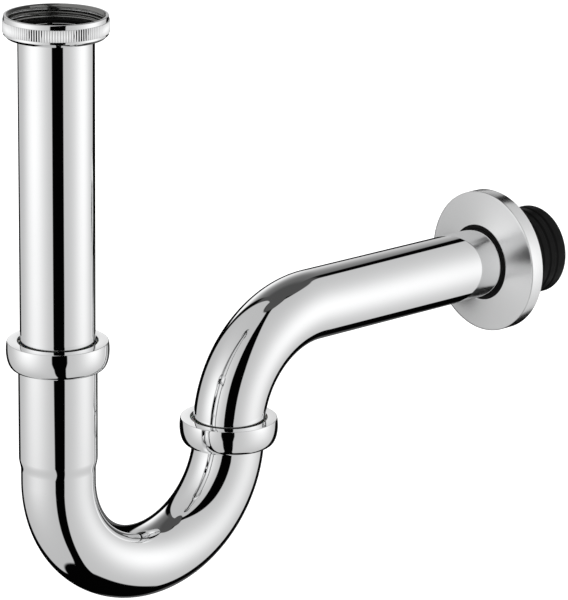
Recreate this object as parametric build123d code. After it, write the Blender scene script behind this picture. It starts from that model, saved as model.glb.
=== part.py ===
"""Chromed tubular P-trap for a washbasin: G 1 1/4 inlet nut, 32 mm tube, wall outlet.

Millimetres. The origin is the centre of the inlet's sealing face, on the inlet axis.
+Z runs up the inlet axis, +Y runs along the outlet arm towards the wall.
"""
import os

from build123d import *

# ---------------------------------------------------------------- driving dimensions
TUBE_R = 16.0            # outside radius of the 32 mm tube
TUBE_WALL = 0.8
BEND_R = 48.0            # centreline radius of the U-bend and of the elbow
LEG_PITCH = 2 * BEND_R   # from the inlet axis to the outlet leg's axis
SLIDE_GAP = 0.05         # radial running clearance of a part that slides on the tube
STACK_GAP = 0.1          # axial gap between neighbouring pieces inside a nut

# inlet, at the washbasin's waste
THREAD_MINOR_R = 19.475  # G 1 1/4 internal thread, minor radius
NUT_RIM_Z = 5.5          # top of the union nut, above the sealing face
NUT_FOOT_Z = -3.9
KNURL_R = 22.3
KNURL_DEPTH = 0.25
KNURL_TEETH = 130
KNURL_TOP_Z = 3.5
KNURL_FOOT_Z = -1.5
BAND_R = 21.8            # plain bands above and below the knurling
RIM_EDGE = 0.3
GASKET_R = 19.0
COLLAR_R = 18.9
GASKET_THICK = 1.6
COLLAR_THICK = 1.2

# slip nuts
SLIP_R = 21.95
SLIP_WAIST = 4.0         # where the side is widest, below the top
SLIP_H = 11.5
SLIP_TOP_WALL = 1.6
SLIP_HOLE_R = 17.1
SLIP_BORE_R = 19.3
SLIP_TOP_OVAL = (0.9, 4.6)     # width and height of the quarter ovals above and below the waist
SLIP_FOOT_OVAL = (3.0, 7.7)
RING_R = 18.7            # nylon friction rings
RING_HOLE_R = 16.8
RING_THICK = 0.6
FERRULE_R = 18.95        # outside of the brazed threaded collars
FERRULE_INSET = 0.2      # a ferrule stops this much short of its nut's foot

# heights on the inlet leg
UPPER_NUT_Z = -135.0     # top face of the upper slip nut
INLET_TUBE_END_Z = -167.0
SOCKET_R = 16.85
SOCKET_TOP_Z = -142.5
SOCKET_FOOT_Z = -188.4
SHOULDER_H = 3.0
SEAT_TOP_Z = -139.6      # top of the inlet ferrule, with its conical seat
SEAT_MOUTH_R = 18.2
BEND_Z = -197.8          # height of the U-bend's centre

# heights on the outlet leg
LOWER_NUT_Z = -190.2     # top face of the lower slip nut
OUTLET_TOP_Z = -196.0    # end of the U-bend's outlet leg
ELBOW_FOOT_Z = -195.4    # lower end of the arm, where its elbow begins
ARM_COLLAR_R = 18.6
ARM_COLLAR_THICK = 1.6
FLAT_SEAL_THICK = 1.7
FLAT_SEAL_HOLE_R = 16.35
ARM_Z = ELBOW_FOOT_Z + BEND_R

# wall end
FLANGE_FRONT_Y = 250.0
FLANGE_R = 33.25
FLANGE_DEPTH = 9.2
FLANGE_HOLE_R = 17.75
FLANGE_SHEET = 0.8
FLANGE_DOME = 2.5        # how far the front face falls back from its hole to its edge
GRIP_DEPTH = 4.0         # rubber ring behind the plate, along the tube
SLEEVE_START_Y = 259.6
SLEEVE_END_Y = 288.6
SLEEVE_R = 20.8
SLEEVE_LEAD = 2.4        # chamfer at the sleeve's inner end
GROOVE_COUNT = 5
GROOVE_DEPTH = 0.5
GROOVE_WIDTH = 2.0
GROOVE_PITCH = 4.6
ARM_END_Y = 283.0

TUBE_BORE_R = TUBE_R - TUBE_WALL
SLIDE_R = TUBE_R + SLIDE_GAP
SOCKET_BORE_R = SLIDE_R
LOWER_COLLAR_TOP_Z = LOWER_NUT_Z - SLIP_TOP_WALL - RING_THICK - 2 * STACK_GAP
LOWER_COLLAR_FOOT_Z = LOWER_COLLAR_TOP_Z - ARM_COLLAR_THICK
UPPER_RING_FOOT_Z = UPPER_NUT_Z - SLIP_TOP_WALL - STACK_GAP - RING_THICK
COLLAR_FOOT_Z = -GASKET_THICK - COLLAR_THICK


# ---------------------------------------------------------------- shared shapes
def turned(profile):
    """Solid of revolution about Z from (radius, height) corners."""
    outline = Polyline([(r, 0, z) for r, z in profile], close=True)
    return revolve(make_face(outline), Axis.Z)


def ring(outer_r, inner_r, foot_z, top_z):
    return turned([(inner_r, foot_z), (outer_r, foot_z), (outer_r, top_z), (inner_r, top_z)])


def at_outlet_leg(shape):
    return Pos(0, LEG_PITCH, 0) * shape


def along_arm(shape):
    """Turns a shape made about Z so that its Z becomes +Y along the arm's axis."""
    return Pos(0, 0, ARM_Z) * Rot(-90, 0, 0) * shape


def curved(centre_y, centre_z, turn, outer_r, inner_r=0):
    """Bent round bar or tube: it starts level with the centre, on its near side.

    A positive turn in degrees goes down and round, a negative one goes up.
    """
    section = Circle(outer_r)
    if inner_r:
        section -= Circle(inner_r)
    bar = revolve(Pos(0, -BEND_R, 0) * section, Axis.X, turn)
    return Pos(0, centre_y, centre_z) * bar


# ---------------------------------------------------------------- inlet
def union_nut():
    """Knurled nut: thread above, relief for the washer, and a lip that lifts the tube's collar."""
    chamfer_h = 0.7
    relief_r = 19.9
    lip_z = COLLAR_FOOT_Z - STACK_GAP
    lip_hole_r = 16.6
    foot_r = 20.3
    bevel_top_z = -2.5
    body = turned([
        (lip_hole_r, NUT_FOOT_Z),
        (foot_r, NUT_FOOT_Z),
        (BAND_R, bevel_top_z),
        (BAND_R, NUT_RIM_Z - RIM_EDGE),
        (BAND_R - RIM_EDGE, NUT_RIM_Z),
        (THREAD_MINOR_R + chamfer_h, NUT_RIM_Z),
        (THREAD_MINOR_R, NUT_RIM_Z - chamfer_h),
        (THREAD_MINOR_R, 0),
        (relief_r, 0),
        (relief_r, lip_z),
        (lip_hole_r, lip_z),
    ])
    outline = []
    for tooth in range(KNURL_TEETH):
        for half, radius in ((0, KNURL_R), (0.5, KNURL_R - KNURL_DEPTH)):
            corner = Vector(radius, 0).rotate(Axis.Z, (tooth + half) * 360 / KNURL_TEETH)
            outline.append((corner.X, corner.Y))
    crown = make_face(Polyline(outline, close=True)) - Circle(BAND_R - KNURL_DEPTH)
    band = extrude(crown, KNURL_TOP_Z - KNURL_FOOT_Z)
    return body + Pos(0, 0, KNURL_FOOT_Z) * band


def inlet_gasket():
    return ring(GASKET_R, TUBE_BORE_R, -GASKET_THICK, 0)


def inlet_tube():
    return ring(TUBE_R, TUBE_BORE_R, INLET_TUBE_END_Z, -GASKET_THICK)


def inlet_collar():
    """Ring brazed round the tube's top end, flush with it."""
    return ring(COLLAR_R, TUBE_R, COLLAR_FOOT_Z, -GASKET_THICK)


# ---------------------------------------------------------------- slip nuts
def slip_nut_side():
    """Radius and depth below the top of points down the nut's swelling side."""
    points = []
    for i in range(24):
        depth = SLIP_H * i / 23
        width, height = SLIP_TOP_OVAL if depth < SLIP_WAIST else SLIP_FOOT_OVAL
        rise = (depth - SLIP_WAIST) / height
        points.append((SLIP_R - width * (1 - (1 - rise * rise) ** 0.5), depth))
    return points


def slip_nut(top_z):
    """Round nut with a swelling side: a plain bore stands in for its M38.6 x 1.5 thread."""
    foot_z = top_z - SLIP_H
    side = [(r, 0, top_z - depth) for r, depth in slip_nut_side()]
    top_r, foot_r = side[0][0], side[-1][0]
    rest = Polyline([(r, 0, z) for r, z in (
        (foot_r, foot_z),
        (SLIP_BORE_R, foot_z),
        (SLIP_BORE_R, top_z - SLIP_TOP_WALL),
        (SLIP_HOLE_R, top_z - SLIP_TOP_WALL),
        (SLIP_HOLE_R, top_z),
        (top_r, top_z),
    )])
    return revolve(make_face(Spline(side) + rest), Axis.Z)


def friction_ring(nut_top_z):
    top_z = nut_top_z - SLIP_TOP_WALL - STACK_GAP
    return ring(RING_R, RING_HOLE_R, top_z - RING_THICK, top_z)


def upper_seal():
    """Compression ring with a tapered foot that fits the ferrule's conical seat."""
    top_z = UPPER_RING_FOOT_Z - STACK_GAP
    foot_z = SOCKET_TOP_Z + 2 * STACK_GAP
    shoulder_z = SEAT_TOP_Z + STACK_GAP
    shoulder_r = SEAT_MOUTH_R + 0.3
    return turned([
        (SLIDE_R, foot_z),
        (SOCKET_R, foot_z),
        (SEAT_MOUTH_R, shoulder_z),
        (shoulder_r, shoulder_z),
        (shoulder_r, top_z),
        (SLIDE_R, top_z),
    ])


def lower_seal():
    foot_z = OUTLET_TOP_Z
    return ring(ARM_COLLAR_R, FLAT_SEAL_HOLE_R, foot_z, foot_z + FLAT_SEAL_THICK)


# ---------------------------------------------------------------- trap bend
def trap_bend():
    """U-bend whose inlet leg is widened into a socket for the inlet tube."""
    shoulder_foot_z = SOCKET_FOOT_Z - SHOULDER_H
    inlet_leg = turned([
        (TUBE_R, BEND_Z),
        (TUBE_R, shoulder_foot_z),
        (SOCKET_R, SOCKET_FOOT_Z),
        (SOCKET_R, SOCKET_TOP_Z),
        (SOCKET_BORE_R, SOCKET_TOP_Z),
        (SOCKET_BORE_R, SOCKET_FOOT_Z),
        (TUBE_BORE_R, shoulder_foot_z),
        (TUBE_BORE_R, BEND_Z),
    ])
    around = curved(BEND_R, BEND_Z, 180, TUBE_R, TUBE_BORE_R)
    outlet_leg = at_outlet_leg(ring(TUBE_R, TUBE_BORE_R, BEND_Z, OUTLET_TOP_Z))
    return inlet_leg + around + outlet_leg


def bend_inlet_ferrule():
    """Collar brazed on the socket; its mouth is the conical seat of the upper seal."""
    foot_z = UPPER_NUT_Z - SLIP_H + FERRULE_INSET
    return turned([
        (SOCKET_R, foot_z),
        (FERRULE_R, foot_z),
        (FERRULE_R, SEAT_TOP_Z),
        (SEAT_MOUTH_R, SEAT_TOP_Z),
        (SOCKET_R, SOCKET_TOP_Z),
    ])


def bend_outlet_ferrule():
    """Collar brazed on the outlet leg, flush with its end, following the start of the bend."""
    foot_z = LOWER_NUT_Z - SLIP_H + FERRULE_INSET
    collar = at_outlet_leg(ring(FERRULE_R, TUBE_BORE_R, foot_z, OUTLET_TOP_Z))
    leg = at_outlet_leg(ring(TUBE_R, 0, BEND_Z, OUTLET_TOP_Z))
    return collar - leg - curved(BEND_R, BEND_Z, 180, TUBE_R)


# ---------------------------------------------------------------- outlet arm
def outlet_arm():
    """Elbow and the long horizontal tube to the wall."""
    elbow = curved(LEG_PITCH + BEND_R, ELBOW_FOOT_Z, -90, TUBE_R, TUBE_BORE_R)
    run = along_arm(ring(TUBE_R, TUBE_BORE_R, LEG_PITCH + BEND_R, ARM_END_Y))
    return elbow + run


def arm_collar():
    """Ring brazed round the foot of the elbow; the lower slip nut pulls it down."""
    collar = at_outlet_leg(ring(ARM_COLLAR_R, TUBE_BORE_R, LOWER_COLLAR_FOOT_Z, LOWER_COLLAR_TOP_Z))
    return collar - curved(LEG_PITCH + BEND_R, ELBOW_FOOT_Z, -90, TUBE_R)


# ---------------------------------------------------------------- wall end
def wall_flange():
    """Pressed sheet plate: a domed face and a deep plain rim."""
    front = FLANGE_FRONT_Y
    edge = front + FLANGE_DOME
    back = front + FLANGE_DEPTH
    inner_r = FLANGE_R - FLANGE_SHEET
    steps = 4
    face = [(FLANGE_HOLE_R + (FLANGE_R - FLANGE_HOLE_R) * i / steps,
             front + FLANGE_DOME * (1.32 * i / steps - 0.32 * (i / steps) ** 2))
            for i in range(steps + 1)]
    hidden = [(r, y + FLANGE_SHEET) for r, y in face[:-1]][::-1]
    plate = turned([*face, (FLANGE_R, back), (inner_r, back), (inner_r, edge + FLANGE_SHEET), *hidden])
    return along_arm(plate)


def flange_grip_ring():
    """Rubber ring behind the plate, with a lip in its hole that grips the tube."""
    lip_r = FLANGE_HOLE_R - 0.15
    body_r = FLANGE_HOLE_R + 1.6
    lip_y = FLANGE_FRONT_Y + FLANGE_SHEET / 2
    body_y = FLANGE_FRONT_Y + FLANGE_SHEET + 5 * STACK_GAP
    back_y = body_y + GRIP_DEPTH
    gripper = turned([
        (SLIDE_R, lip_y),
        (lip_r, lip_y),
        (lip_r, body_y),
        (body_r, body_y),
        (body_r, back_y),
        (SLIDE_R, back_y),
    ])
    return along_arm(gripper)


def wall_sleeve():
    """Rubber sleeve with shallow grooves between its sealing ribs."""
    first_groove = SLEEVE_START_Y + GROOVE_PITCH - GROOVE_WIDTH
    corners = [(SLIDE_R, SLEEVE_START_Y), (SLEEVE_R, SLEEVE_START_Y)]
    for groove in range(GROOVE_COUNT):
        start = first_groove + groove * GROOVE_PITCH
        corners += [
            (SLEEVE_R, start),
            (SLEEVE_R - GROOVE_DEPTH, start + GROOVE_DEPTH),
            (SLEEVE_R - GROOVE_DEPTH, start + GROOVE_WIDTH - GROOVE_DEPTH),
            (SLEEVE_R, start + GROOVE_WIDTH),
        ]
    corners += [
        (SLEEVE_R, SLEEVE_END_Y - SLEEVE_LEAD),
        (SLEEVE_R - SLEEVE_LEAD, SLEEVE_END_Y),
        (SLIDE_R, SLEEVE_END_Y),
    ]
    return along_arm(turned(corners))


# ---------------------------------------------------------------- the nodes
NODES = {
    "union_nut": union_nut(),
    "inlet_gasket": inlet_gasket(),
    "inlet_tube": inlet_tube(),
    "inlet_collar": inlet_collar(),
    "upper_slip_nut": slip_nut(UPPER_NUT_Z),
    "upper_friction_ring": friction_ring(UPPER_NUT_Z),
    "upper_seal": upper_seal(),
    "trap_bend": trap_bend(),
    "bend_inlet_ferrule": bend_inlet_ferrule(),
    "bend_outlet_ferrule": bend_outlet_ferrule(),
    "lower_slip_nut": at_outlet_leg(slip_nut(LOWER_NUT_Z)),
    "lower_friction_ring": at_outlet_leg(friction_ring(LOWER_NUT_Z)),
    "lower_seal": at_outlet_leg(lower_seal()),
    "outlet_arm": outlet_arm(),
    "arm_collar": arm_collar(),
    "wall_flange": wall_flange(),
    "flange_grip_ring": flange_grip_ring(),
    "wall_sleeve": wall_sleeve(),
}

os.makedirs("parts", exist_ok=True)
for name, shape in NODES.items():
    export_step(shape, f"parts/{name}.step")
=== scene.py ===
"""Looks for the chromed tubular P-trap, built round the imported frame. Metres in Blender,
millimetres in the outlines, which are scaled by MM when a mesh is made."""

import math

import bmesh
import bpy
import numpy as np
from mathutils import Matrix, Vector

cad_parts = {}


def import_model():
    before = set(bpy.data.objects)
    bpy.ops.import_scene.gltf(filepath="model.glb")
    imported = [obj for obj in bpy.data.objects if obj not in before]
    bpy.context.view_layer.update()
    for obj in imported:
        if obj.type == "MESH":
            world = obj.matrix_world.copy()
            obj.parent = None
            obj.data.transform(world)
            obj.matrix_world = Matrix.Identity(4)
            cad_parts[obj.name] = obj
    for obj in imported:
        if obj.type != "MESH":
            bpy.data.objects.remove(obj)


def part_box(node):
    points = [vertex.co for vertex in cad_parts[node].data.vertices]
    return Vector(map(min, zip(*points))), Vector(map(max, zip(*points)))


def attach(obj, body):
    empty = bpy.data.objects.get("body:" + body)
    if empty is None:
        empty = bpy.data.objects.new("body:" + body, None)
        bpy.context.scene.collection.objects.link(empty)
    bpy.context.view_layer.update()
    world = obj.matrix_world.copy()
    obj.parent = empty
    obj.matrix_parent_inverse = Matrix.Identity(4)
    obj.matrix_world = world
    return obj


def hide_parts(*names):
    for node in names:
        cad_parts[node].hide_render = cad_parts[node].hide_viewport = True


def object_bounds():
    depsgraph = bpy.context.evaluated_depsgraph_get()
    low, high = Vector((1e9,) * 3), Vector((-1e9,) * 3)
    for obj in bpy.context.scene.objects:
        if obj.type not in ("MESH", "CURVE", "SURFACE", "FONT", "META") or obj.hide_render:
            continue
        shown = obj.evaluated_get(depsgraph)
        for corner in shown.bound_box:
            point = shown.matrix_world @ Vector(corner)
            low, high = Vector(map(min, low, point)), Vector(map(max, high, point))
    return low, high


MM = 0.001
TURN = 2 * math.pi

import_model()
cad_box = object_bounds()


# ---------------------------------------------------------------- sizes read from the frame
def node_box(name):
    """Lowest and highest corner of a CAD node, in millimetres."""
    low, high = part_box(name)
    return Vector(low) / MM, Vector(high) / MM


def heights(name):
    low, high = node_box(name)
    return low.z, high.z


def radius_of(name):
    low, high = node_box(name)
    return (high.x - low.x) / 2


TUBE_R = radius_of("inlet_tube")
WALL = 0.8
SLIDE_R = TUBE_R + 0.05
LEG_Y = sum(corner.y for corner in node_box("lower_slip_nut")) / 2
BEND_R = LEG_Y / 2
SOCKET_R = radius_of("trap_bend")
BEND_FOOT_Z, SOCKET_TOP_Z = heights("trap_bend")
BEND_Z = BEND_FOOT_Z + TUBE_R + BEND_R
OUTLET_TOP_Z = heights("bend_outlet_ferrule")[1]
ELBOW_Z, ARM_TOP_Z = heights("outlet_arm")
ARM_Z = ARM_TOP_Z - TUBE_R
ARM_END_Y = node_box("outlet_arm")[1].y


# ---------------------------------------------------------------- mesh building
def rounded(corners, steps=5):
    """Closed outline with an arc at each corner: a corner is (radius, height, fillet)."""
    points = []
    for i, (r, h, fillet) in enumerate(corners):
        here = Vector((r, h))
        back = Vector(corners[i - 1][:2]) - here
        ahead = Vector(corners[(i + 1) % len(corners)][:2]) - here
        half = back.angle(ahead) / 2
        if not fillet or abs(half - math.pi / 2) < 1e-4:
            points.append((r, h))
            continue
        reach = min(fillet / math.tan(half), 0.49 * back.length, 0.49 * ahead.length)
        back.normalize()
        ahead.normalize()
        arc_r = reach * math.tan(half)
        centre = here + (back + ahead).normalized() * arc_r / math.sin(half)
        start = here + back * reach - centre
        turn = start.angle_signed(here + ahead * reach - centre)
        for step in range(steps + 1):
            spin = Matrix.Rotation(-turn * step / steps, 2)
            points.append(tuple(centre + spin @ start))
    return points


def mesh_piece(name, grid, sharp_deg=40):
    """Closed surface over a grid of points (rows x columns x 3, mm), wrapped both ways."""
    rows, columns = grid.shape[:2]
    index = np.arange(rows * columns).reshape(rows, columns)
    below, beside = np.roll(index, -1, 0), np.roll(index, -1, 1)
    corner = np.roll(below, -1, 1)
    faces = np.stack([index, beside, corner, below], -1).reshape(-1, 4)
    mesh = bpy.data.meshes.new(name)
    mesh.from_pydata((grid.reshape(-1, 3) * MM).tolist(), [], faces.tolist())
    bm = bmesh.new()
    bm.from_mesh(mesh)
    bmesh.ops.remove_doubles(bm, verts=bm.verts, dist=1e-8)
    bmesh.ops.recalc_face_normals(bm, faces=bm.faces)
    bm.to_mesh(mesh)
    bm.free()
    mesh.polygons.foreach_set("use_smooth", [True] * len(mesh.polygons))
    mesh.set_sharp_from_angle(angle=math.radians(sharp_deg))
    piece = bpy.data.objects.new(name, mesh)
    bpy.context.scene.collection.objects.link(piece)
    return piece


def lathe(name, outline, relief=None, leg_y=0.0, along_arm=False, segments=240, sharp_deg=40):
    """Turns a closed outline about a leg's axis, or about the arm's when along_arm is set."""
    rows = np.array(outline, float)
    angle = np.arange(segments) * TURN / segments
    r, h = rows[:, :1], rows[:, 1:]
    if relief:
        r = r + relief(r, h, angle[None, :])
    across, lift = r * np.cos(angle), r * np.sin(angle)
    level = np.broadcast_to(h, across.shape)
    if along_arm:
        grid = np.stack([across, level, ARM_Z + lift], -1)
    else:
        grid = np.stack([across, leg_y + lift, level], -1)
    return mesh_piece(name, grid, sharp_deg)


def tube(name, stations, segments=216):
    """Thin-walled tube through stations (y, z, direction angle, outer r, inner r) in the YZ plane."""
    edge = 0.15                                   # chamfer round both ends
    angle = np.arange(segments) * TURN / segments
    outside = [(y, z, way, outer) for y, z, way, outer, inner in stations]
    inside = [(y, z, way, inner) for y, z, way, outer, inner in stations]

    def lip(station, shift, grow):
        y, z, way, r = station
        return (y + shift * math.cos(way), z + shift * math.sin(way), way, r + grow)

    def faired(wall, grow):
        first, last = wall[0], wall[-1]
        start = [lip(first, 0, grow), lip(first, edge, 0)]
        end = [lip(last, -edge, 0), lip(last, 0, grow)]
        return start + wall[1:-1] + end

    rings = faired(outside, -edge) + faired(inside, edge)[::-1]
    y, z, way, r = (np.array(column)[:, None] for column in zip(*rings))
    across, lift = r * np.cos(angle), r * np.sin(angle)
    grid = np.stack([across, y - lift * np.sin(way), z + lift * np.cos(way)], -1)
    return mesh_piece(name, grid)


def arc_stations(centre_y, centre_z, start_deg, end_deg, steps, outer, inner):
    """Stations round a bend; the angle is that of the radius, and the way is square to it."""
    turning = math.copysign(math.pi / 2, end_deg - start_deg)
    stations = []
    for step in range(steps + 1):
        at = math.radians(start_deg + (end_deg - start_deg) * step / steps)
        y = centre_y + BEND_R * math.cos(at)
        z = centre_z + BEND_R * math.sin(at)
        stations.append((y, z, at + turning, outer, inner))
    return stations


# ---------------------------------------------------------------- surface relief
def thread_relief(pitch, depth, low, high, fade):
    """Adds a helical V groove between two heights to a wall; depth is signed."""
    def relief(r, h, angle):
        phase = (h / pitch - angle / TURN) % 1.0
        groove = np.clip(1.25 * np.abs(2 * phase - 1) - 0.125, 0, 1)
        window = np.clip((h - low) / fade, 0, 1) * np.clip((high - h) / fade, 0, 1)
        return depth * groove * window
    return relief


NUT_WAIST = 4.0                 # depth of a slip nut's widest level below its top
NUT_TOP_OVAL = (0.9, 4.6)       # width and height of the side's quarter oval above it
NUT_FOOT_OVAL = (3.0, 7.7)      # and below it


def nut_side(outer_r, foot, top, steps=28):
    """Points up a nut's side: quarter ovals above and below its widest level."""
    waist = top - NUT_WAIST
    points = []
    for i in range(steps + 1):
        h = foot + (top - foot) * i / steps
        width, height = NUT_TOP_OVAL if h > waist else NUT_FOOT_OVAL
        rise = (h - waist) / height
        points.append((outer_r - width * (1 - math.sqrt(1 - rise * rise)), h))
    ends = (0.6, *[0] * (steps - 1), 0.7)         # fillets: rounded foot and top edges only
    return [(r, h, fillet) for (r, h), fillet in zip(points, ends)]


def finely(points, r, step=0.13):
    """Divides an outline's walls at one radius, closely enough to carry a thread."""
    divided = []
    for here, ahead in zip(points, points[1:] + points[:1]):
        on_wall = abs(here[0] - r) < 1e-6 and abs(ahead[0] - r) < 1e-6
        count = max(1, round(abs(ahead[1] - here[1]) / step)) if on_wall else 1
        divided += [(here[0] + (ahead[0] - here[0]) * i / count,
                     here[1] + (ahead[1] - here[1]) * i / count) for i in range(count)]
    return divided


# ---------------------------------------------------------------- materials
def new_material(name, **values):
    """Principled material with some inputs set; an underscore stands for a space."""
    material = bpy.data.materials.new(name)
    material.use_nodes = True
    shader = material.node_tree.nodes["Principled BSDF"]
    for socket, value in values.items():
        shader.inputs[socket.replace("_", " ")].default_value = value
    return material, material.node_tree, shader


def noise_node(tree, scale, detail=2.0, stretch=(1, 1, 1)):
    """Noise in the piece's own coordinates, in cycles a metre, stretched along the axes."""
    place = tree.nodes.new("ShaderNodeTexCoord")
    mapping = tree.nodes.new("ShaderNodeMapping")
    mapping.inputs["Scale"].default_value = stretch
    noise = tree.nodes.new("ShaderNodeTexNoise")
    noise.inputs["Scale"].default_value = scale
    noise.inputs["Detail"].default_value = detail
    tree.links.new(place.outputs["Object"], mapping.inputs["Vector"])
    tree.links.new(mapping.outputs["Vector"], noise.inputs["Vector"])
    return noise.outputs["Fac"]


def ramp(tree, source, low, high):
    """Maps a 0..1 field onto a range."""
    node = tree.nodes.new("ShaderNodeMapRange")
    node.inputs["From Min"].default_value = 0.35
    node.inputs["From Max"].default_value = 0.65
    node.inputs["To Min"].default_value = low
    node.inputs["To Max"].default_value = high
    tree.links.new(source, node.inputs["Value"])
    return node.outputs["Result"]


def tint(tree, shader, field, dark, light):
    """Mixes two close colours by a field, into the base colour."""
    mix = tree.nodes.new("ShaderNodeMix")
    mix.data_type = "RGBA"
    mix.inputs["A"].default_value = (*dark, 1)
    mix.inputs["B"].default_value = (*light, 1)
    tree.links.new(field, mix.inputs["Factor"])
    tree.links.new(mix.outputs["Result"], shader.inputs["Base Color"])


def bump(tree, shader, height, distance_mm, strength=1.0):
    """Adds a shallow relief, made from a 0..1 field, to the shader's normal."""
    node = tree.nodes.new("ShaderNodeBump")
    node.inputs["Strength"].default_value = strength
    node.inputs["Distance"].default_value = distance_mm * MM
    tree.links.new(height, node.inputs["Height"])
    tree.links.new(node.outputs["Normal"], shader.inputs["Normal"])


def chrome(name, roughness=(0.012, 0.035), ripple_mm=0.004):
    """Polished chrome plate: faint haze in patches and a slow ripple left by the polishing."""
    material, tree, shader = new_material(name, Metallic=1.0)
    tint(tree, shader, noise_node(tree, 40), (0.93, 0.935, 0.94), (0.96, 0.962, 0.965))
    tree.links.new(ramp(tree, noise_node(tree, 55, 4), *roughness), shader.inputs["Roughness"])
    bump(tree, shader, noise_node(tree, 60, 1), ripple_mm)
    return material


def thread_metal(name):
    """Dull, barely plated metal inside a nut, with turning marks round the axis."""
    material, tree, shader = new_material(name, Metallic=1.0)
    tint(tree, shader, noise_node(tree, 90, 4), (0.24, 0.24, 0.235), (0.42, 0.42, 0.41))
    tree.links.new(ramp(tree, noise_node(tree, 120, 3), 0.16, 0.32), shader.inputs["Roughness"])
    bump(tree, shader, noise_node(tree, 900, 2, (0.05, 0.05, 1)), 0.02)
    return material


def dull_inside(piece, radius, leg_y=0.0):
    """Gives a nut's inward faces, nearer its axis than a radius, the thread's metal."""
    piece.data.materials.append(THREAD_METAL)
    for face in piece.data.polygons:
        arm = Vector((face.center.x, face.center.y - leg_y * MM))
        inward = face.normal.x * arm.x + face.normal.y * arm.y < 0
        if inward and arm.length < radius * MM:
            face.material_index = 1


def rubber(name, dark=(0.002, 0.002, 0.002), light=(0.006, 0.006, 0.006)):
    """Moulded black rubber: a fine grain and paler patches where it is dusty."""
    material, tree, shader = new_material(name, Specular_IOR_Level=0.1)
    tint(tree, shader, noise_node(tree, 140, 5), dark, light)
    tree.links.new(ramp(tree, noise_node(tree, 260, 4), 0.38, 0.55), shader.inputs["Roughness"])
    bump(tree, shader, noise_node(tree, 2600, 2), 0.03, 0.5)
    return material


def nylon(name):
    """Natural white nylon, a little translucent, with a fine moulded grain."""
    material, tree, shader = new_material(name, Subsurface_Weight=0.15, Subsurface_Scale=0.002)
    tint(tree, shader, noise_node(tree, 120, 3), (0.78, 0.78, 0.74), (0.88, 0.88, 0.85))
    tree.links.new(ramp(tree, noise_node(tree, 300, 3), 0.35, 0.5), shader.inputs["Roughness"])
    bump(tree, shader, noise_node(tree, 1800, 2), 0.02, 0.4)
    return material


CHROME_TUBE = chrome("chrome_tube")
CHROME_NUT = chrome("chrome_nut", (0.015, 0.04), 0.002)
CHROME_PLATE = chrome("chrome_plate", (0.19, 0.23), 0.006)
THREAD_METAL = thread_metal("dull_thread_metal")
RUBBER = rubber("black_rubber")
SLEEVE_RUBBER = rubber("sleeve_rubber", (0.0015, 0.0015, 0.0015), (0.004, 0.004, 0.004))
NYLON = nylon("white_nylon")


def dress(piece, material, body, node):
    """Gives a piece its material and the body it rides on, and hides the CAD node it stands for."""
    piece.data.materials.append(material)
    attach(piece, body)
    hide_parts(node)
    return piece


# ---------------------------------------------------------------- inlet
THREAD_MINOR_R = 19.475         # G 1 1/4 internal thread, at its crests
THREAD_PITCH = 2.309
THREAD_DEPTH = 1.3
THREAD_MOUTH_R = 20.75          # where the bevel at the mouth meets the rim
UNION_RELIEF_R = 19.9           # below the thread, round the washer
UNION_HOLE_R = 16.6             # round the inlet tube
KNURL_TEETH = 130
KNURL_DEPTH = 0.33
KNURL_MARGIN = 2.0              # plain band between the knurling and the rim
KNURL_HEIGHT = 5.0
BAND_STEP = 0.5                 # the plain bands lie this much below the knurling's crests


def union_nut():
    """Knurled nut with a G 1 1/4 thread down to the washer."""
    foot, rim = heights("union_nut")
    crest_r = radius_of("union_nut")
    band_r = crest_r - BAND_STEP
    knurl_top = rim - KNURL_MARGIN
    knurl_foot = knurl_top - KNURL_HEIGHT
    lip_top = heights("inlet_collar")[0] - 0.1
    thread = thread_relief(THREAD_PITCH, THREAD_DEPTH, 0.2, rim - 0.2, 1.2)

    def relief(r, h, angle):
        tooth = np.abs(2 * ((angle * KNURL_TEETH / TURN) % 1.0) - 1)
        on_knurl = (r > crest_r - 0.1) & (r < crest_r + 0.01)
        on_wall = np.abs(r - THREAD_MINOR_R) < 0.01
        return np.where(on_knurl, -KNURL_DEPTH * tooth, 0) + np.where(on_wall, thread(r, h, angle), 0)

    outline = finely(rounded([
        (UNION_HOLE_R, foot, 0.15),
        (20.3, foot, 0.3),
        (band_r, foot + 1.4, 0.3),
        (band_r, knurl_foot - 0.02, 0),
        (crest_r - KNURL_DEPTH, knurl_foot, 0),
        (crest_r, knurl_foot + 0.15, 0),
        (crest_r, knurl_top - 0.15, 0),
        (crest_r - KNURL_DEPTH, knurl_top, 0),
        (band_r, knurl_top + 0.02, 0),
        (band_r, rim, 0.3),
        (THREAD_MOUTH_R, rim, 0.2),
        (THREAD_MINOR_R, rim - 0.9, 0),
        (THREAD_MINOR_R, 0, 0),
        (UNION_RELIEF_R, -0.1, 0.1),
        (UNION_RELIEF_R, lip_top, 0.2),
        (UNION_HOLE_R, lip_top, 0.1),
    ]), THREAD_MINOR_R)
    piece = lathe("knurled_union_nut", outline, relief, segments=KNURL_TEETH * 8, sharp_deg=55)
    dress(piece, CHROME_NUT, "inlet_nut", "union_nut")
    dull_inside(piece, THREAD_MOUTH_R - 0.2)


def flat_ring(name, node, inner_r, edge=0.25, leg_y=0.0):
    """Ring as high and wide as its CAD node, with eased edges."""
    low, high = heights(node)
    outer_r = radius_of(node)
    outline = rounded([
        (inner_r, low, edge),
        (outer_r, low, edge),
        (outer_r, high, edge),
        (inner_r, high, edge),
    ])
    return lathe(name, outline, leg_y=leg_y)


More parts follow.
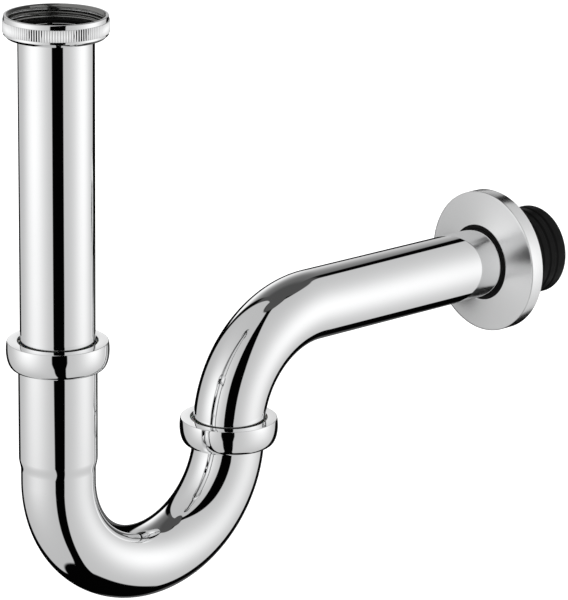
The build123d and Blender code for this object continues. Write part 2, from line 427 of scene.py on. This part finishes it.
def inlet():
    """Washer, brazed collar and the tube below them."""
    gasket = flat_ring("inlet_washer", "inlet_gasket", TUBE_R - WALL, 0.35)
    dress(gasket, RUBBER, "inlet", "inlet_gasket")
    collar = flat_ring("inlet_tube_collar", "inlet_collar", TUBE_R, 0.2)
    dress(collar, CHROME_TUBE, "inlet", "inlet_collar")
    low, high = heights("inlet_tube")
    up = math.pi / 2
    pipe = tube("straight_inlet_tube", [
        (0, low, up, TUBE_R, TUBE_R - WALL),
        (0, (low + high) / 2, up, TUBE_R, TUBE_R - WALL),
        (0, high, up, TUBE_R, TUBE_R - WALL),
    ])
    dress(pipe, CHROME_TUBE, "inlet", "inlet_tube")


# ---------------------------------------------------------------- slip nuts and what is in them
NUT_PITCH = 1.5
NUT_HOLE_R = 17.1
NUT_BORE_R = 19.3
NUT_TOP_WALL = 1.6
NUT_THREAD_DEPTH = 0.7
RING_HOLE_R = 16.8
SEAT_MOUTH_R = 18.2             # the conical seat's mouth, at the inlet ferrule's top
SEAL_HEAD_R = 18.5
FLAT_SEAL_HOLE_R = 16.35


def slip_nut(name, node, body, leg_y):
    """Smooth round nut with a swelling side, a rounded foot and a threaded bore."""
    foot, top = heights(node)
    outer_r = radius_of(node)
    outline = finely(rounded([
        *nut_side(outer_r, foot, top),
        (NUT_HOLE_R, top, 0.25),
        (NUT_HOLE_R, top - NUT_TOP_WALL, 0.1),
        (NUT_BORE_R, top - NUT_TOP_WALL, 0.1),
        (NUT_BORE_R, foot + 0.4, 0),
        (NUT_BORE_R + 0.3, foot, 0),
    ], 8), NUT_BORE_R)
    relief = thread_relief(NUT_PITCH, NUT_THREAD_DEPTH, foot + 0.4, top - NUT_TOP_WALL - 1.2, 0.5)

    def bore_only(r, h, angle):
        return np.where(np.abs(r - NUT_BORE_R) < 0.005, relief(r, h, angle), 0)

    nut = lathe(name, outline, bore_only, leg_y, segments=360)
    dress(nut, CHROME_NUT, body, node)
    dull_inside(nut, NUT_BORE_R + 0.8, leg_y)


def ferrule(name, node, leg_y, bore):
    """Brazed and plated collar with an outside thread; its bore is given from the top down."""
    foot, top = heights(node)
    outer_r = radius_of(node)
    outline = finely([
        (outer_r - 0.5, foot),
        (outer_r, foot + 0.4),
        (outer_r, top - 0.4),
        (outer_r - 0.5, top),
        *bore,
    ], outer_r)
    relief = thread_relief(NUT_PITCH, -NUT_THREAD_DEPTH, foot + 0.3, top - 0.3, 0.5)

    def skin_only(r, h, angle):
        return np.where(np.abs(r - outer_r) < 0.005, relief(r, h, angle), 0)

    collar = lathe(name, outline, skin_only, leg_y, segments=360)
    dress(collar, CHROME_TUBE, "trap", node)


def nut_fittings():
    """Both slip nuts, with the rings, ferrules, seals and collar that they clamp."""
    slip_nut("slip_nut_upper", "upper_slip_nut", "upper_nut", 0.0)
    slip_nut("slip_nut_lower", "lower_slip_nut", "lower_nut", LEG_Y)
    for node, body, leg_y in (("upper_friction_ring", "upper_ring", 0.0),
                              ("lower_friction_ring", "lower_ring", LEG_Y)):
        ring = flat_ring("nylon_" + node, node, RING_HOLE_R, 0.12, leg_y)
        dress(ring, NYLON, body, node)

    foot, top = heights("bend_inlet_ferrule")
    ferrule("threaded_ferrule_inlet", "bend_inlet_ferrule", 0.0,
            [(SEAT_MOUTH_R, top), (SOCKET_R, SOCKET_TOP_Z), (SOCKET_R, foot)])
    foot, top = heights("bend_outlet_ferrule")
    ferrule("threaded_ferrule_outlet", "bend_outlet_ferrule", LEG_Y, [(TUBE_R, top), (TUBE_R, foot)])

    low, high = heights("upper_seal")
    shoulder = heights("bend_inlet_ferrule")[1] + 0.1
    seal = lathe("tapered_seal", rounded([
        (SLIDE_R, low, 0.2),
        (SOCKET_R, low, 0.2),
        (SEAT_MOUTH_R, shoulder, 0.1),
        (SEAL_HEAD_R, shoulder, 0.1),
        (SEAL_HEAD_R, high, 0.4),
        (SLIDE_R, high, 0.3),
    ]))
    dress(seal, RUBBER, "trap", "upper_seal")
    washer = flat_ring("flat_seal", "lower_seal", FLAT_SEAL_HOLE_R, 0.35, LEG_Y)
    dress(washer, RUBBER, "trap", "lower_seal")
    collar = flat_ring("arm_foot_collar", "arm_collar", TUBE_R, 0.25, LEG_Y)
    dress(collar, CHROME_TUBE, "arm", "arm_collar")


# ---------------------------------------------------------------- bends
SHOULDER_TOP_Z = -187.0         # where the socket begins to narrow to the tube
SHOULDER_H = 5.6
SHOULDER_STEPS = 24


def trap_bend():
    """U-bend with the inlet leg swaged out into a socket."""
    down, bore = -math.pi / 2, TUBE_R - WALL
    grow = SOCKET_R - TUBE_R
    stations = [(0, SOCKET_TOP_Z, down, SOCKET_R, SOCKET_R - WALL)]
    stations.append((0, SOCKET_TOP_Z - 20, down, SOCKET_R, SOCKET_R - WALL))
    for step in range(SHOULDER_STEPS + 1):
        share = step / SHOULDER_STEPS
        flare = grow * (1 + math.cos(math.pi * share)) / 2
        z = SHOULDER_TOP_Z - SHOULDER_H * share
        stations.append((0, z, down, TUBE_R + flare, bore + flare))
    stations += arc_stations(BEND_R, BEND_Z, 180, 360, 120, TUBE_R, bore)
    stations.append((LEG_Y, OUTLET_TOP_Z, -down, TUBE_R, bore))
    piece = tube("u_bend", stations)
    dress(piece, CHROME_TUBE, "trap", "trap_bend")


def outlet_arm():
    """Elbow off the outlet leg, then straight to the wall."""
    bore = TUBE_R - WALL
    stations = arc_stations(LEG_Y + BEND_R, ELBOW_Z, 180, 90, 60, TUBE_R, bore)
    stations += [(y, ARM_Z, 0.0, TUBE_R, bore) for y in (200.0, ARM_END_Y)]
    piece = tube("elbow_and_arm", stations)
    dress(piece, CHROME_TUBE, "arm", "outlet_arm")


# ---------------------------------------------------------------- wall end
PLATE_HOLE_R = 17.75
PLATE_SHEET = 0.8
PLATE_DOME = 2.5                # how far the face falls back from its hole to its edge
PLATE_DOME_EASE = 0.32          # how much flatter than a cone the face grows towards its edge
PLATE_EDGE_FILLET = 0.6
PLATE_STEPS = 24
SLEEVE_GROOVES = 5
GROOVE_PITCH = 4.6
GROOVE_DEPTH = 0.5


def span(node):
    """Where a node round the arm starts and ends along it, and its outer radius."""
    low, high = node_box(node)
    return low.y, high.y, (high.x - low.x) / 2


def plate_face(front, edge_r):
    """Points of the domed face, steepest at its hole."""
    points = []
    for step in range(1, PLATE_STEPS + 1):
        share = step / PLATE_STEPS
        fall = PLATE_DOME * ((1 + PLATE_DOME_EASE) * share - PLATE_DOME_EASE * share ** 2)
        points.append((PLATE_HOLE_R + (edge_r - PLATE_HOLE_R) * share, front + fall, 0))
    return points


def wall_plate():
    front, back, rim_r = span("wall_flange")
    face = plate_face(front, rim_r - PLATE_EDGE_FILLET - 0.15)
    outline = rounded([
        (PLATE_HOLE_R, front + PLATE_SHEET, 0.1),
        (PLATE_HOLE_R, front, 0.25),
        *face,
        (rim_r, front + PLATE_DOME + 0.14, PLATE_EDGE_FILLET),
        (rim_r, back, 0.2),
        (rim_r - PLATE_SHEET, back, 0.2),
        (rim_r - PLATE_SHEET, front + PLATE_DOME + PLATE_SHEET, 0.4),
        *[(r, y + PLATE_SHEET, 0) for r, y, sharp in face[-2::-1]],
    ])
    plate = lathe("wall_plate", outline, along_arm=True, segments=360, sharp_deg=60)
    dress(plate, CHROME_PLATE, "flange", "wall_flange")


def grip_ring():
    """Rubber ring with a lip inside the plate's hole and its body behind the sheet."""
    lip_r, body_r = PLATE_HOLE_R - 0.15, PLATE_HOLE_R + 1.6
    lip_y, end_y, widest = span("flange_grip_ring")
    body_y = span("wall_flange")[0] + PLATE_SHEET + 0.5
    gripper = lathe("grip_ring", rounded([
        (SLIDE_R, lip_y, 0.2),
        (lip_r, lip_y, 0.3),
        (lip_r, body_y, 0),
        (body_r, body_y, 0.3),
        (body_r, end_y, 0.4),
        (SLIDE_R, end_y, 0.3),
    ]), along_arm=True)
    dress(gripper, RUBBER, "flange", "flange_grip_ring")


def wall_sleeve():
    start, end, outer_r = span("wall_sleeve")
    floor_r = outer_r - GROOVE_DEPTH
    corners = [(SLIDE_R, start, 0.3), (outer_r, start, 0.6)]
    for groove in range(SLEEVE_GROOVES):
        y = start + 2.6 + groove * GROOVE_PITCH
        corners += [(outer_r, y, 0.5), (floor_r, y + 0.6, 0.3),
                    (floor_r, y + 1.4, 0.3), (outer_r, y + 2.0, 0.5)]
    corners += [(outer_r, end, 2.4), (SLIDE_R, end, 0.5)]
    sleeve = lathe("ribbed_sleeve", rounded(corners, 6), along_arm=True, sharp_deg=60)
    dress(sleeve, SLEEVE_RUBBER, "sleeve", "wall_sleeve")


union_nut()
inlet()
nut_fittings()
trap_bend()
outlet_arm()
wall_plate()
grip_ring()
wall_sleeve()


# ---------------------------------------------------------------- studio
CAMERA_AZ, CAMERA_EL, CAMERA_ROLL = 48.168, 17.202, 0.842
TENT_CENTRE = Vector((0.0, 0.12, -0.15))
TENT_R = 0.55                   # metres, as is the tent's centre
DARK = 0.0008                   # brightness of the gaps between the softboxes
CEILING = 0.075
CLOTH = 0.13
SWEEP = 0.10                    # where the cloth runs on to the floor


def step_up(value, edge, soft):
    """0 below the edge, 1 above it, with a soft change."""
    t = np.clip((value - edge) / soft + 0.5, 0, 1)
    return t * t * (3 - 2 * t)


def between(value, low, high, soft):
    """1 between two edges, 0 outside them, with soft changes."""
    return step_up(value, low, soft) * (1 - step_up(value, high, soft))


def panel(az, el, low_az, high_az, low_el, high_el, corner):
    """1 inside a softbox with rounded corners, in degrees; its sides may lean."""
    across = np.abs(az - (low_az + high_az) / 2) - (high_az - low_az) / 2 + corner
    upright = np.abs(el - (low_el + high_el) / 2) - (high_el - low_el) / 2 + corner
    outside = np.hypot(np.maximum(across, 0), np.maximum(upright, 0))
    inside = np.minimum(np.maximum(across, upright), 0)
    return 1 - step_up(outside + inside - corner, 0, 2.0)


def gap_taper(el):
    """The dark gap behind the camera narrows below the level of the tubes and above it."""
    return 3.0 * np.clip((-el - 12) / 12, 0, 1) + 4 * np.clip((el - 18) / 45, 0, 1)


def glow(az, el, centre_az, centre_el, width, base, peak):
    """Light of a softbox: a bright middle that falls off to its edges."""
    away = np.hypot((az - centre_az) * np.cos(np.radians(el)), el - centre_el)
    return base + peak * np.exp(-(away / width) ** 2)


def backdrop_tone(behind, el):
    """Dark ceiling behind the object, and pale cloth that is brightest at its foot."""
    tone = np.full(el.shape, DARK)
    back_roof = between(behind, 95, 250, soft=12) * step_up(el, 50, soft=10)
    tone = tone + (CEILING - tone) * back_roof
    shine = (0.42 + 0.5 * step_up(behind, 182, soft=30)) * np.exp(-((el - 12) / 19) ** 2)
    cloth = between(behind, 158, 214, soft=3) * step_up(el, 9, soft=3)
    cloth = cloth * (1 - step_up(el, 58, soft=14))
    tone = tone + (CLOTH + shine - tone) * cloth
    sweep = between(behind, 160, 200, soft=10) * between(el, -60, -14, soft=5)
    return tone + (SWEEP - tone) * sweep


def studio_tone(az, el):
    """Brightness round the object: azimuth from the camera's side, elevation, both in degrees."""
    tone = backdrop_tone(np.where(az < 0, az + 360, az), el)
    # softboxes to the left and right, with leaning edges and a dark gap between them
    taper = gap_taper(el)
    left_edge = -136 + 0.35 * np.clip(10 - el, 0, 60)
    left = panel(az, el, low_az=left_edge, high_az=-17 + taper, low_el=-64, high_el=78, corner=12)
    left_glow = glow(az, el, centre_az=-62, centre_el=3, width=29, base=0.52, peak=0.55)
    tone = tone + (left_glow - tone) * left
    right_edge = np.minimum(146, 143 + 0.35 * el)
    right_top = 78 - 0.32 * np.clip(az - 75, 0, 70)
    right = panel(az, el, low_az=12 - taper, high_az=right_edge, low_el=-68, high_el=right_top, corner=8)
    right_glow = glow(az, el, centre_az=80, centre_el=0, width=36, base=0.54, peak=0.53)
    tone = tone + (right_glow - tone) * right
    return tone + (CEILING - tone) * step_up(el, 79, soft=3)


def tent_mesh(columns=720, rows=360):
    """Sphere whose vertices carry the studio's tone for their direction."""
    az = np.radians(np.arange(columns) * 360 / columns)
    el = np.radians(-90 + np.arange(rows + 1) * 180 / rows)
    az, el = np.meshgrid(az, el)
    grid = np.stack([np.sin(az) * np.cos(el), -np.cos(az) * np.cos(el), np.sin(el)], -1)
    points = grid.reshape(-1, 3) * TENT_R
    index = np.arange((rows + 1) * columns).reshape(rows + 1, columns)
    beside = np.roll(index, -1, 1)
    faces = np.stack([index[:-1], beside[:-1], beside[1:], index[1:]], -1).reshape(-1, 4)
    mesh = bpy.data.meshes.new("light_tent")
    mesh.from_pydata(points.tolist(), [], faces.tolist())
    relative = (np.degrees(az) - CAMERA_AZ + 180) % 360 - 180
    tone = studio_tone(relative.ravel(), np.degrees(el).ravel())
    colour = mesh.color_attributes.new("tone", "FLOAT_COLOR", "POINT")
    rgba = np.stack([tone, tone, tone, np.ones_like(tone)], -1)
    colour.data.foreach_set("color", rgba.astype(np.float32).ravel())
    return mesh


def tent_material():
    """Glows with the tone that the mesh carries."""
    material = bpy.data.materials.new("light_tent")
    material.use_nodes = True
    tree = material.node_tree
    tree.nodes.clear()
    source = tree.nodes.new("ShaderNodeVertexColor")
    source.layer_name = "tone"
    emission = tree.nodes.new("ShaderNodeEmission")
    output = tree.nodes.new("ShaderNodeOutputMaterial")
    tree.links.new(source.outputs["Color"], emission.inputs["Color"])
    tree.links.new(emission.outputs["Emission"], output.inputs["Surface"])
    return material


def light_tent():
    """Dome of softboxes round the object, seen only in its reflections."""
    tent = bpy.data.objects.new("light_tent", tent_mesh())
    tent.location = TENT_CENTRE
    tent.data.materials.append(tent_material())
    bpy.context.scene.collection.objects.link(tent)
    tent.visible_camera = False
    tent.visible_diffuse = False
    tent.visible_shadow = False
    tent.visible_transmission = False


def floor():
    """Plain pale floor, a little below the bend."""
    size, drop = 30.0, 0.03
    mesh = bpy.data.meshes.new("floor")
    z = cad_box[0][2] - drop
    corners = [(-size, -size, z), (size, -size, z), (size, size, z), (-size, size, z)]
    mesh.from_pydata(corners, [], [(0, 1, 2, 3)])
    plane = bpy.data.objects.new("floor", mesh)
    bpy.context.scene.collection.objects.link(plane)
    material, tree, shader = new_material("pale_floor", Roughness=0.9, Emission_Strength=0.55)
    shader.inputs["Base Color"].default_value = (0.9, 0.9, 0.9, 1)
    shader.inputs["Emission Color"].default_value = (1, 1, 1, 1)
    mesh.materials.append(material)
    plane.visible_glossy = False


def world():
    """Even soft light for what isn't chrome."""
    sky = bpy.data.worlds.new("studio")
    sky.use_nodes = True
    background = sky.node_tree.nodes["Background"]
    background.inputs["Color"].default_value = (1, 1, 1, 1)
    background.inputs["Strength"].default_value = 0.9
    bpy.context.scene.world = sky


def camera():
    """Long lens from the inlet's side, a little above the object."""
    target = Vector((3.976, 124.363, -140.599)) * MM
    distance, lens = 1.54608, 208.506             # metres, and millimetres on a 36 mm sensor
    a, e, roll = (math.radians(v) for v in (CAMERA_AZ, CAMERA_EL, CAMERA_ROLL))
    back = Vector((math.sin(a) * math.cos(e), -math.cos(a) * math.cos(e), math.sin(e)))
    data = bpy.data.cameras.new("camera")
    data.sensor_width = 36
    data.lens = lens
    eye = bpy.data.objects.new("camera", data)
    level = back.to_track_quat("Z", "Y").to_matrix()
    turned = (level @ Matrix.Rotation(roll, 3, "Z")).to_4x4()
    eye.matrix_world = Matrix.Translation(target + back * distance) @ turned
    bpy.context.scene.collection.objects.link(eye)
    bpy.context.scene.camera = eye


light_tent()
floor()
world()
camera()
bpy.context.scene.view_settings.view_transform = "Standard"
